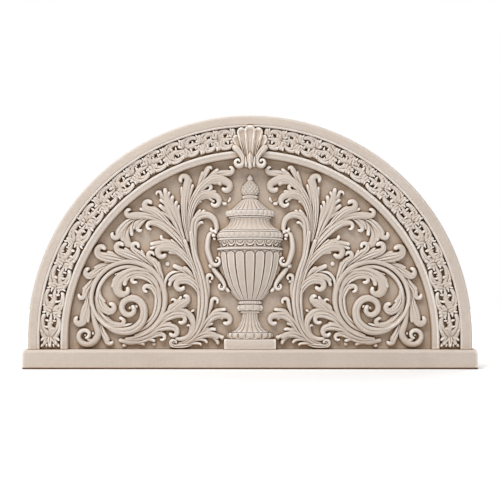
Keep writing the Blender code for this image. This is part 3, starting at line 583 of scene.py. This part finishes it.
def spine(leaf):
    """Stations along the leaf, closer where it bends and at its ends.

    These are their points, headings and ways gone, then the whole length and the peak's share of it.
    """
    points = np.array(leaf.path, float)
    peak = PEAK
    line = smooth(points)
    if leaf.eye:
        path_length = np.hypot(*np.diff(line, axis=0).T).sum()
        line = smooth(np.vstack([points, curl(points[-1], points[-1] - points[-2], leaf)]))
        peak = path_length / np.hypot(*np.diff(line, axis=0).T).sum()
    if leaf.peak:
        peak = leaf.peak
    steps = np.diff(line, axis=0)
    lengths = np.hypot(steps[:, 0], steps[:, 1])
    headings = np.unwrap(np.arctan2(steps[:, 1], steps[:, 0]))
    bends = np.abs(np.diff(headings, prepend=headings[0]))
    cost = lengths / (SECTION_SHARE * leaf.width) + bends / math.radians(SECTION_BEND)
    measure = np.concatenate([[0], np.cumsum(cost)])
    travelled = np.concatenate([[0], np.cumsum(lengths)])
    marks = np.linspace(0, measure[-1], max(LEAST_SECTIONS, round(measure[-1])) + 1)
    reach = travelled[-1] - leaf.width / 2 * leaf.tip * (1 - np.sin(np.radians(TIP_TURNS)))
    tip_marks = np.interp(reach, travelled, measure)
    start = leaf.width / 2 * leaf.root * (1 - np.cos(np.radians(ROOT_TURNS)))
    root_marks = np.interp(start, travelled, measure)
    middle = marks[(marks > root_marks[-1] + SECTION_GAP) & (marks < tip_marks[0] - SECTION_GAP)]
    marks = np.concatenate([root_marks, middle, tip_marks])
    stations = np.stack([np.interp(marks, measure, line[:, k]) for k in (0, 1)], axis=1)
    middles = (measure[1:] + measure[:-1]) / 2
    along = np.interp(marks, measure, travelled)
    return stations, np.interp(marks, middles, headings), along, travelled[-1], peak


def section(leaf):
    """The section's outline as (way across, share of height, share of groove): round, with a reeded top."""
    reeds = leaf.reeds
    if reeds is None:
        reeds = 1 if leaf.width < REEDED_FROM else 2 if leaf.width < REEDED_TWICE_FROM else 3
    few, for_each = POINTS_ACROSS
    count = 2 * round((few + for_each * leaf.width * (PLAIN_SHARE if reeds == 1 else 1)) / 2)
    roundness = ROUNDNESS[min(reeds, 2)]
    points = []
    for step in range(count + 1):
        angle = math.pi * step / count
        across = -math.copysign(abs(math.cos(angle)) ** POINT_SPREAD, math.cos(angle))
        lift = SHOULDER + (1 - SHOULDER) * abs(math.sin(angle)) ** roundness
        if reeds == 0:
            cut = math.sqrt(max(0.0, 1 - (across / HOLLOW_SHARE) ** 4))
        elif reeds == 1:
            cut = 0.0
        else:
            phase = (across + 1) / 2 * reeds
            gap = abs(phase - min(max(round(phase), 1), reeds - 1))
            cut = max(0.0, 1 - gap / 0.5) ** 2
        points.append((across, lift, cut))
    return points


def leaf_rings(leaf, side):
    """Sections along the leaf: it widens and rises to its peak, narrows past it and closes round."""
    stations, headings, along, total, peak = spine(leaf)
    outline = section(leaf)
    tip_half = leaf.width / 2 * leaf.tip
    root_half = leaf.width / 2 * leaf.root
    for (u, v), heading, gone in zip(stations, headings, along):
        share = gone / total
        if share < peak:
            t = share / peak
            width = leaf.root + (1 - leaf.root) * t * t * (3 - 2 * t)
        else:
            width = 1 - (1 - leaf.tip) * ((share - peak) / (1 - peak)) ** NARROWING
        end = min(1.0, (total - gone) / tip_half)
        begun = min(1.0, (gone + BLUNT_ROOT * root_half) / root_half)
        close = math.sqrt(max(0.0, 1 - (1 - end) ** 2)) * math.sqrt(1 - (1 - begun) ** 2)
        half = max(LEAST_HALF_WIDTH, leaf.width / 2 * width * close)
        rise = leaf.rise + (1 - leaf.rise) * math.sin(math.pi / 2 * min(1, share / peak))
        slope = HOLLOW_TIP_SLOPE if leaf.reeds == 0 else TIP_SLOPE
        top = leaf.floor + (leaf.height * rise - leaf.floor) * (1 - slope * (1 - close))
        if leaf.reeds == 0:
            fade = min(1.0, max(0.0, (total - gone) / tip_half - (1 - HOLLOW_SHARE)) / HOLLOW_END) ** 0.5
        else:
            grown = min(1.0, GROOVE_AT_ROOT + share / GROOVE_GROWTH)
            fade = max(0.0, 1 - (share / leaf.fades) ** GROOVE_FADE) * grown
        du, dv = -math.sin(heading) * half, math.cos(heading) * half
        ring = [place(u - du * UNDERCUT, v - dv * UNDERCUT, leaf.floor, side)]
        for way, lift, cut in outline:
            height = leaf.floor + (top - leaf.floor) * lift * (1 - leaf.groove * cut * fade)
            ring.append(place(u + du * way, v + dv * way, height, side))
        ring.append(place(u + du * UNDERCUT, v + dv * UNDERCUT, leaf.floor, side))
        yield ring


def knob_rings(u, v, radius, height, side):
    """Rings of a round knob, from its undercut foot to its top."""
    rows = [(-SINK, KNOB_FOOT * radius), (height * KNOB_WIDEST, radius)]
    for step in range(1, KNOB_ROWS + 1):
        angle = math.pi / 2 * step / KNOB_ROWS
        lift = KNOB_DOME_FROM + KNOB_DOME * math.sin(angle)
        rows.append((height * lift, max(LEAST_KNOB_RING, radius * math.cos(angle))))
    spots = [math.tau * step / KNOB_POINTS for step in range(KNOB_POINTS)]
    for lift, reach in rows:
        yield [place(u + reach * math.cos(a), v + reach * math.sin(a), lift, side) for a in spots]


def add_loft(bm, rings):
    """A closed solid over rings of as many points each, capped at both ends, added to the mesh."""
    rows = [[bm.verts.new(point) for point in ring] for ring in rings]
    faces = []
    for row, following in zip(rows, rows[1:]):
        for i in range(len(row)):
            j = (i + 1) % len(row)
            faces.append(bm.faces.new((row[i], row[j], following[j], following[i])))
    faces += [bm.faces.new(rows[0]), bm.faces.new(rows[-1])]
    bmesh.ops.recalc_face_normals(bm, faces=faces)


def in_scene(name, data):
    """An object with this mesh, light or camera, in the scene."""
    made = bpy.data.objects.new(name, data)
    bpy.context.scene.collection.objects.link(made)
    return made


def mesh_object(name, bm):
    """An object with the shape in bm, which is freed."""
    mesh = bpy.data.meshes.new(name)
    bm.to_mesh(mesh)
    bm.free()
    return in_scene(name, mesh)


def joined(name, lofts):
    """One closed surface around all the lofts, so that nothing is left inside it."""
    solids = []
    for rings in lofts:
        bm = bmesh.new()
        add_loft(bm, rings)
        solids.append(mesh_object("loft", bm))
    tools = bpy.data.collections.new("lofts")
    everything = bpy.context.scene.collection
    everything.children.link(tools)
    for solid in solids[1:]:
        everything.objects.unlink(solid)
        tools.objects.link(solid)
    whole = solids[0]
    union = whole.modifiers.new("union", "BOOLEAN")
    union.operation = "UNION"
    union.solver = "MANIFOLD"
    union.operand_type = "COLLECTION"
    union.collection = tools
    mesh = bpy.data.meshes.new_from_object(whole.evaluated_get(bpy.context.evaluated_depsgraph_get()))
    for solid in solids:
        bpy.data.objects.remove(solid)
    bpy.data.collections.remove(tools)
    mesh.name = name
    return in_scene(name, mesh)


def finish_piece(made, material, sharp=50):
    """Gives the piece its stone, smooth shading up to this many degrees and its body."""
    mesh = made.data
    mesh.materials.clear()
    mesh.materials.append(material)
    mesh.shade_smooth()
    mesh.set_sharp_from_angle(angle=math.radians(sharp))
    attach(made, "root")


def carved(name, leaves, knobs, sides, material):
    """Makes a piece of leaves and knobs on these sides, with a leaf on the centreline only once."""
    lofts = []
    for leaf in leaves:
        central = all(u == 0 for u, _ in leaf.path)
        lofts += [leaf_rings(leaf, side) for side in (sides[:1] if central else sides)]
    lofts += [knob_rings(*knob, side) for knob in knobs for side in sides]
    finish_piece(joined(name, lofts), material)


def band_start(cell):
    """Degrees along the arch at which a cell of the leaf band begins."""
    return BAND_FIRST_PITCH * cell - BAND_PITCH_LOSS * cell * cell


def band_leaves():
    """The leaf band: a foot, then cells that shorten toward the crown, each varied a little as carving is."""
    for width, height, path, reeds, ways in BAND_FOOT:
        for way in ways:
            points = tuple((BAND_MIDDLE + way * across, up) for across, up in path)
            yield Leaf(width, BAND_FLOOR + height, points, root=0.7, tip=0.5, peak=0.4, reeds=reeds,
                       floor=BAND_FLOOR - SINK)
    for cell in range(BAND_CELLS):
        start = band_start(cell)
        pitch = band_start(cell + 1) - start
        turned = 1 if cell % 2 else -1
        for number, (width, height, path, reeds) in enumerate(BAND_LEAVES):
            drift, slip, swell = (most * math.sin(a * cell + b * number) for most, a, b in BAND_STRAY)
            points = tuple(
                on_arch(BAND_MIDDLE + turned * across + drift, start + (along + slip) * pitch)
                for along, across in path
            )
            yield Leaf(width * (1 + swell), BAND_FLOOR + height, points, root=0.7, tip=0.4, peak=0.3,
                       reeds=reeds, floor=BAND_FLOOR - SINK)


def arch_outline(radius, leg):
    """A half circle on its legs, from the right foot over the crown to the left foot."""
    count = round(180 / ARC_STEP)
    arc = [polar((0, leg), (radius, 180 * step / count))[0] for step in range(count + 1)]
    return [(radius, 0.0), *arc, (-radius, 0.0)]


def arch_rings(profile, leg):
    """A section of (radius, height) corners carried round the arch, from foot to foot."""
    for foot_u, foot_v in arch_outline(1.0, leg):
        lift = min(foot_v, leg)
        yield [place(foot_u * r, lift + (foot_v - lift) * r, height) for r, height in profile]


def round_corner(before, corner, after, radius, steps=4):
    """Points of a small round between two edges of a (radius, height) profile."""
    corner = np.array(corner)
    scale = np.array((SQUARE, 1.0))
    points = []
    toward = []
    for other in (before, after):
        way = (np.array(other) - corner) * scale
        toward.append(way / np.hypot(*way) * radius)
    for step in range(steps + 1):
        t = step / steps
        offset = toward[0] * (1 - t) ** 2 + toward[1] * t**2
        points.append(tuple(corner + offset / scale))
    return points


def rounded(profile, radius):
    """The profile with a small round on each of its corners that lies in front of the field."""
    points = []
    for i, corner in enumerate(profile):
        if corner[1] <= BAND_FLOOR:
            points.append(corner)
        else:
            points += round_corner(profile[i - 1], corner, profile[(i + 1) % len(profile)], radius)
    return points


def panel_frame(material):
    """Makes the slab, the outer frame with the band's sunk ground and the inner moulding, as one surface."""
    back = FIELD_Y - BACK_Y
    slab = [[place(u, v, height) for u, v in arch_outline(PLATE_RADIUS, LEG)] for height in (back, 0.0)]
    top = FRAME_HEIGHT
    outer_frame = (
        (ARCH_RADIUS, back + 0.003), (ARCH_RADIUS, top - 0.004), (ARCH_RADIUS - 1.2, top), (214.2, top),
        (213.8, top - 0.0022), (213.2, top - 0.0022), (212.7, top - 0.001),  # a fine groove and a bead
        (BAND_OUTER_RADIUS, top - 0.003), (BAND_OUTER_RADIUS, BAND_FLOOR),
        (BAND_INNER_RADIUS, BAND_FLOOR), (BAND_INNER_RADIUS, back + 0.001),
        (ARCH_RADIUS - 0.5, back + 0.001),
    )
    inner, outer = INNER_MOULDING_RADII
    top = INNER_MOULDING_HEIGHT
    inner_moulding = (
        (outer, -SINK), (outer, top - 0.003), (outer - 0.8, top), (outer - 2.0, top),
        (outer - 2.5, top - 0.003), (inner + 1.0, top - 0.004), (inner, top - 0.009), (inner, -SINK),
    )
    frame_rings = arch_rings(rounded(outer_frame, ARRIS), LEG)
    moulding_rings = arch_rings(rounded(inner_moulding, ARRIS), INNER_MOULDING_LEG)
    made = joined("tympanum_slab_and_mouldings", [slab, frame_rings, moulding_rings])
    finish_piece(made, material, sharp=35)
    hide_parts("carved_tympanum_panel")


def urn_profile():
    """Close rows of (height in the drawing, half width) along the turned profile."""
    rows = []
    for (v0, w0, bulge), (v1, w1, _) in zip(URN_PROFILE, URN_PROFILE[1:]):
        count = max(1, round(math.hypot(v1 - v0, w1 - w0) / PROFILE_STEP))
        for step in range(count):
            t = step / count
            rows.append((v0 + (v1 - v0) * t, w0 + (w1 - w0) * t + bulge * math.sin(math.pi * t)))
    rows.append(URN_PROFILE[-1][:2])
    return rows


def reeded(turn, count, power):
    """0 in the grooves between reeds and 1 on their backs: count of them to the half round, one in front."""
    return abs(math.cos(math.pi * (turn - 0.5) * count)) ** power


def gadroon(v, turn):
    """How deep the bowl is cut: round-headed panels, a little dished, parted by narrow grooves."""
    phase = (turn - 0.5) * GADROONS
    across = 2 * abs(phase - round(phase))
    head = max(0.0, (v - HEAD_FROM) / HEAD_TALL)
    edge = math.sqrt(max(0.0, 1 - head * head)) if head < 1 else PAST_HEADS
    inside = edge - across
    groove = GROOVE_DEPTH * math.exp(-((inside / GROOVE_WIDTH) ** 2))
    if inside < 0:
        return max(groove, SPANDREL_DEPTH)
    return max(groove, DISH_DEPTH * min(1.0, max(0.0, inside - DISH_FROM) / DISH_SLOPE))


def scallop(v, turn):
    """How deep the frieze is cut: a row of hanging scallops with rims, and darts between them at the foot."""
    phase = (turn - 0.5) * GADROONS
    across = 2 * abs(phase - round(phase))
    fall = (SCALLOP_TOP - v) / SCALLOP_DROP
    reach = math.hypot(across, fall)
    if reach < 1.0:
        return RIM_DEPTH * math.exp(-(((reach - RIM_AT) / RIM_WIDTH) ** 2))
    dart = math.exp(-(((across - 1.0) / DART_WIDTH) ** 2)) if fall > DART_FROM else 0.0
    return FRIEZE_DEPTH * (1 - dart)


def urn_carving(v, angle):
    """How deep the urn's surface is cut at this height and way round, as a share of its reach."""
    turn = angle / math.pi
    if BOWL[0] < v < BOWL[1]:
        return gadroon(v, turn)
    if FRIEZE[0] < v < FRIEZE[1]:
        return scallop(v, turn)
    if FINIAL[0] < v < FINIAL[1]:
        rise = (v - FINIAL[0]) / SCALE_SLANT
        crossed = reeded(turn + rise, SCALES, SCALE_POWER) * reeded(turn - rise, SCALES, SCALE_POWER)
        return SCALE_DEPTH * (1 - crossed)
    for low, high, depth, count, power in URN_REEDS:
        if low < v < high:
            return depth * (1 - reeded(turn, count, power))
    return 0.0


def urn_rings():
    """Half-elliptical sections of the urn, which bow up toward the front as the carved rings do."""
    for v, half_width in urn_profile():
        depth = half_width * SQUARE * URN_DEPTH_SHARE
        bow = float(np.interp(v, *zip(*URN_BOW)))
        ring = [place(-half_width, v, -SINK)]
        for step in range(URN_COLUMNS + 1):
            angle = math.pi * step / URN_COLUMNS
            reach = 1.0 - urn_carving(v, angle)
            out = math.sin(angle)
            edge = half_width * (1 - SIDE_CUT * (1 - reach))
            height = URN_STILT + depth * out - (1 - reach) * depth
            ring.append(place(-edge * math.cos(angle), v + bow * out, height))
        ring.append(place(half_width, v, -SINK))
        yield ring


def urn(material):
    """Makes the urn on its plinth, which is a block with softened edges."""
    bm = bmesh.new()
    add_loft(bm, urn_rings())
    half = PLINTH_HALF_WIDTH
    plinth = ((half, -SINK), (half, PLINTH_HEIGHT), (-half, PLINTH_HEIGHT), (-half, -SINK))
    soft = []
    for i, corner in enumerate(plinth):
        soft += round_corner(plinth[i - 1], corner, plinth[(i + 1) % 4], PLINTH_ARRIS)
    rings = []
    for v, inset in ((0.0, 0.0), (0.3, 0.0), (PLINTH_TOP - 0.4, 0.0), (PLINTH_TOP, PLINTH_CHAMFER)):
        share = 1 - inset / half
        rings.append([place(u * share, v, height - inset * SQUARE) for u, height in soft])
    add_loft(bm, rings)
    finish_piece(mesh_object("relief_urn", bm), material, sharp=60)


def stone_material(name):
    """Pale warm stone: soft mottling, a fine raised grain, a sunk ground darker by a brown wash and painted
    shade, painted shade tinted brown in the hollows and crevices, and worn ridges with a painted highlight.
    """
    material = bpy.data.materials.new(name)
    material.use_nodes = True
    tree = material.node_tree
    shader = tree.nodes["Principled BSDF"]
    link = tree.links.new

    def node(kind, **inputs):
        made = tree.nodes.new(kind)
        for socket, value in inputs.items():
            made.inputs[socket.replace("_", " ")].default_value = value
        return made

    def mix(factor, a, b, blend="MIX"):
        made = tree.nodes.new("ShaderNodeMix")
        made.data_type = "RGBA"
        made.blend_type = blend
        for socket, value in (("Factor", factor), ("A", a), ("B", b)):
            sockets = [s for s in made.inputs if s.name == socket and s.enabled]
            if isinstance(value, bpy.types.NodeSocket):
                link(value, sockets[0])
            else:
                sockets[0].default_value = value
        return [s for s in made.outputs if s.enabled][0]

    coordinates = tree.nodes.new("ShaderNodeTexCoord")

    def noise(scale, detail, rough=0.6):
        made = node("ShaderNodeTexNoise", Scale=scale, Detail=detail, Roughness=rough)
        link(coordinates.outputs["Object"], made.inputs["Vector"])
        return made.outputs["Fac"]

    def remap(value, low, high, to_low, to_high):
        made = node("ShaderNodeMapRange")
        link(value, made.inputs["Value"])
        ends = (("From Min", low), ("From Max", high), ("To Min", to_low), ("To Max", to_high))
        for socket, number in ends:
            made.inputs[socket].default_value = number
        return made.outputs["Result"]

    def occlusion(distance, inside=False):
        made = node("ShaderNodeAmbientOcclusion", Distance=distance)
        made.samples = 8
        made.inside = inside
        made.only_local = inside
        return made.outputs["AO"]

    clean = mix(remap(noise(6.0, 4), 0.35, 0.68, 0.0, 1.0), TOP_COLOUR, WEATHERED_COLOUR)
    speckled = mix(remap(noise(300.0, 3), 0.42, 0.72, 0.0, 0.30), clean, SPECKLE_COLOUR)
    pale_grains = mix(remap(noise(430.0, 2), 0.60, 0.75, 0.0, 0.35), speckled, GRAIN_COLOUR)
    depth = tree.nodes.new("ShaderNodeSeparateXYZ")
    link(coordinates.outputs["Object"], depth.inputs["Vector"])
    # The sunk ground is darker and browner the deeper it lies: a brown wash and painted shade of the recess,
    # mottled in patches
    ground = remap(depth.outputs["Y"], FIELD_Y - 0.022, FIELD_Y - 0.002, 0.0, 0.62)
    patchy = mix(remap(noise(90.0, 4), 0.35, 0.65, 0.0, 1.0), GROUND_WASH_AND_SHADE_COLOUR, PATCH_WASH_AND_SHADE_COLOUR)
    washed_and_shaded = mix(ground, pale_grains, patchy)
    # Thin ridges and edges are paler: wear, and a painted highlight
    ridges = remap(occlusion(WORN_AND_HIGHLIGHT_REACH, inside=True), 0.45, 0.84, 0.85, 0.0)
    worn_and_highlit = mix(ridges, washed_and_shaded, WORN_AND_HIGHLIGHT_COLOUR)
    # Painted shade near the relief and in the hollows, tinted brown as a patina
    browned_and_shaded = mix(remap(occlusion(PATINA_AND_SHADE_REACH), 0.25, 0.85, 1.0, 0.0), worn_and_highlit, PATINA_AND_SHADE_TINT, "MULTIPLY")
    # Painted dark shade in narrow crevices and where the relief meets the ground, brown as a wash
    stained_and_shaded = mix(remap(occlusion(CREVICE_REACH), 0.33, 0.87, 1.0, 0.0), browned_and_shaded, CREVICE_WASH_AND_SHADE_COLOUR)
    link(stained_and_shaded, shader.inputs["Base Color"])
    shader.inputs["Roughness"].default_value = 0.86
    shader.inputs["Specular IOR Level"].default_value = 0.25
    hewn = node("ShaderNodeBump", Strength=0.5, Distance=0.003)
    link(noise(70.0, 2), hewn.inputs["Height"])
    grain = node("ShaderNodeBump", Strength=0.5, Distance=0.0009)
    link(noise(380.0, 5, 0.65), grain.inputs["Height"])
    link(hewn.outputs["Normal"], grain.inputs["Normal"])
    link(grain.outputs["Normal"], shader.inputs["Normal"])
    return material


def studio():
    """A pale floor, soft light from above and in front, a wash on the floor behind, and the camera."""
    white_colour = (1, 1, 1, 1)
    world = bpy.data.worlds.new("studio")
    bpy.context.scene.world = world
    world.use_nodes = True
    tree = world.node_tree
    link = tree.links.new
    background = tree.nodes["Background"]
    background.inputs["Color"].default_value = white_colour
    background.inputs["Strength"].default_value = 0.27
    white = tree.nodes.new("ShaderNodeBackground")
    white.inputs["Color"].default_value = white_colour
    path = tree.nodes.new("ShaderNodeLightPath")
    chosen = tree.nodes.new("ShaderNodeMixShader")
    link(path.outputs["Is Camera Ray"], chosen.inputs["Fac"])
    link(background.outputs["Background"], chosen.inputs[1])
    link(white.outputs["Background"], chosen.inputs[2])
    link(chosen.outputs["Shader"], tree.nodes["World Output"].inputs["Surface"])

    bm = bmesh.new()
    bmesh.ops.create_grid(bm, x_segments=1, y_segments=1, size=5.5)
    floor = mesh_object("studio_floor", bm)
    pale = bpy.data.materials.new("pale_floor")
    pale.use_nodes = True
    shader = pale.node_tree.nodes["Principled BSDF"]
    shader.inputs["Base Color"].default_value = (0.92, 0.92, 0.92, 1)
    shader.inputs["Roughness"].default_value = 0.9
    floor.data.materials.append(pale)

    for name, stand, aim, wide, high, watts in (
        ("soft_key", (-1.7, -4.3, 5.2), (0, 0, 0.5), 4.4, 2.4, 270),
        ("soft_top", (-1.2, -0.95, 4.6), (0, 0, 0.5), 2.4, 0.8, 86),
        ("floor_wash", (0, 6.4, 4.0), (0, 6.4, 0), 16.0, 8.0, 1000),
    ):
        light = bpy.data.lights.new(name, "AREA")
        light.shape = "RECTANGLE"
        light.size = wide
        light.size_y = high
        light.energy = watts
        lamp = in_scene(name, light)
        lamp.location = stand
        lamp.rotation_euler = (Vector(aim) - Vector(stand)).to_track_quat("-Z", "Y").to_euler()

    camera = bpy.data.cameras.new("camera")
    camera.lens = 100
    camera.sensor_width = 36
    eye = in_scene("camera", camera)
    pixels_wide = 500
    sill_foot_row = 369
    picture_width = pixels_wide * SQUARE
    distance = picture_width * camera.lens / camera.sensor_width
    height = (sill_foot_row - pixels_wide / 2) * SQUARE
    measured_y = (SILL_LOW[1] + FIELD_Y - FRAME_HEIGHT) / 2
    eye.location = (0.0, measured_y - distance, height)
    eye.rotation_euler = (math.pi / 2, 0, 0)
    bpy.context.scene.camera = eye
    bpy.context.scene.view_settings.view_transform = "Standard"


def build():
    """Every piece, the sill's stone and the studio."""
    stone = stone_material("carved_cast_stone")
    panel_frame(stone)
    both = (1, -1)  # right and left
    leaves = SCROLL + SCROLL_LEAVES + LINK_LEAVES + TRUNK + MIDDLE_LEAVES + UPPER_LEAVES + CROWN_LEAVES
    carved("scrollwork_right", leaves, KNOBS, (1,), stone)
    carved("scrollwork_left", leaves, KNOBS, (-1,), stone)
    carved("urn_handles", HANDLE, HANDLE_KNOBS, both, stone)
    carved("shell_keystone", SHELL_LEAVES, SHELL_KNOBS, both, stone)
    carved("leaf_band_right", band_leaves(), (), (1,), stone)
    carved("leaf_band_left", band_leaves(), (), (-1,), stone)
    urn(stone)
    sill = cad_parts["sill_course"]
    sill.data.materials.clear()
    sill.data.materials.append(stone)
    studio()


build()
